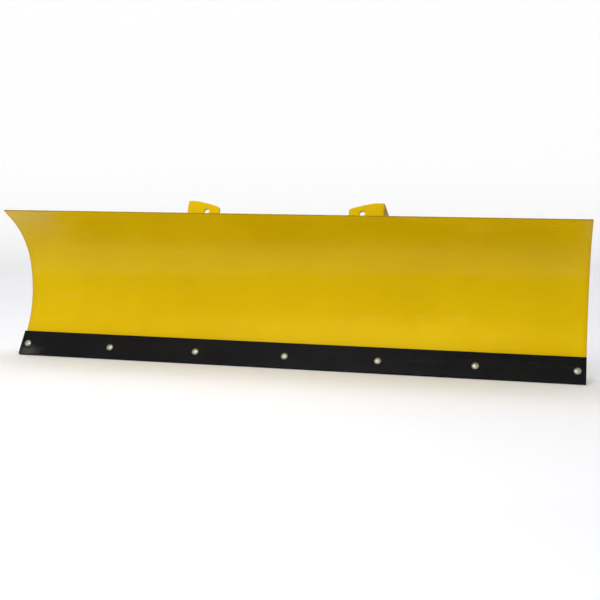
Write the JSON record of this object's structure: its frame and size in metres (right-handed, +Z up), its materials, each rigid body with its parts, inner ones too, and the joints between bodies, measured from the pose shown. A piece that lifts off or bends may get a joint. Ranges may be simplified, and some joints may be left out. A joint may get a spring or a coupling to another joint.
{
  "type": "plow blade",
  "caption": "Curved yellow steel plow blade with a black bolted wear bar, rear ribs with spring ears and pivot lugs, and skid shoes that slide and turn.",
  "frame": {"origin": "on the ground, under the middle of the blade's footprint", "axes": "+X along the blade, +Y away from the snow, so the blade pushes towards -Y, +Z up; left is -X"},
  "size_m": [1.524, 0.2632, 0.4325],
  "materials": {
    "yellow_coat": "yellow powder coat, semi-gloss",
    "black_coat": "black coat, satin",
    "zinc": "bright zinc plate",
    "cast_black": "black painted cast steel, ground bare where it rubs"
  },
  "bodies": {
    "blade": {"moldboard": "yellow_coat", "wear_bar": "black_coat", "backing_bar": "yellow_coat", "wear_bolt_1": "zinc", "wear_bolt_2": "zinc", "wear_bolt_3": "zinc", "wear_bolt_4": "zinc", "wear_bolt_5": "zinc", "wear_bolt_6": "zinc", "wear_bolt_7": "zinc", "wear_nut_1": "zinc", "wear_nut_2": "zinc", "wear_nut_3": "zinc", "wear_nut_4": "zinc", "wear_nut_5": "zinc", "wear_nut_6": "zinc", "wear_nut_7": "zinc", "rib_left": "yellow_coat", "rib_right": "yellow_coat", "pivot_lug_left": "yellow_coat", "pivot_lug_right": "yellow_coat", "rear_channel": "yellow_coat", "end_rib_left": "yellow_coat", "end_rib_right": "yellow_coat", "skid_bracket_left": "yellow_coat", "skid_bracket_right": "yellow_coat", "bracket_bolt_left_lower": "zinc", "bracket_bolt_left_upper": "zinc", "bracket_bolt_right_lower": "zinc", "bracket_bolt_right_upper": "zinc", "bracket_nut_left_lower": "zinc", "bracket_nut_left_upper": "zinc", "bracket_nut_right_lower": "zinc", "bracket_nut_right_upper": "zinc", "skid_tube_left": "yellow_coat", "skid_tube_right": "yellow_coat"},
    "spacers_left": {"skid_spacer_left_1": "zinc", "skid_spacer_left_2": "zinc", "skid_spacer_left_3": "zinc"},
    "shoe_left": {"skid_dish_left": "cast_black", "skid_stem_left": "cast_black", "skid_clip_left": "zinc"},
    "spacers_right": {"skid_spacer_right_1": "zinc", "skid_spacer_right_2": "zinc", "skid_spacer_right_3": "zinc"},
    "shoe_right": {"skid_dish_right": "cast_black", "skid_stem_right": "cast_black", "skid_clip_right": "zinc"}
  },
  "joints": [
    {"name": "shoe_drop_left", "type": "slide", "parent": "blade", "child": "spacers_left", "axis": [0, 0, 1], "range_m": [-0.0245, 0]},
    {"name": "shoe_turn_left", "type": "hinge", "parent": "spacers_left", "child": "shoe_left", "pos_m": [-0.6083, 0.08011, 0], "axis": [0, 0, 1], "continuous": true},
    {"name": "shoe_drop_right", "type": "slide", "parent": "blade", "child": "spacers_right", "axis": [0, 0, 1], "range_m": [-0.0245, 0]},
    {"name": "shoe_turn_right", "type": "hinge", "parent": "spacers_right", "child": "shoe_right", "pos_m": [0.6083, 0.08011, 0], "axis": [0, 0, 1], "continuous": true}
  ]
}
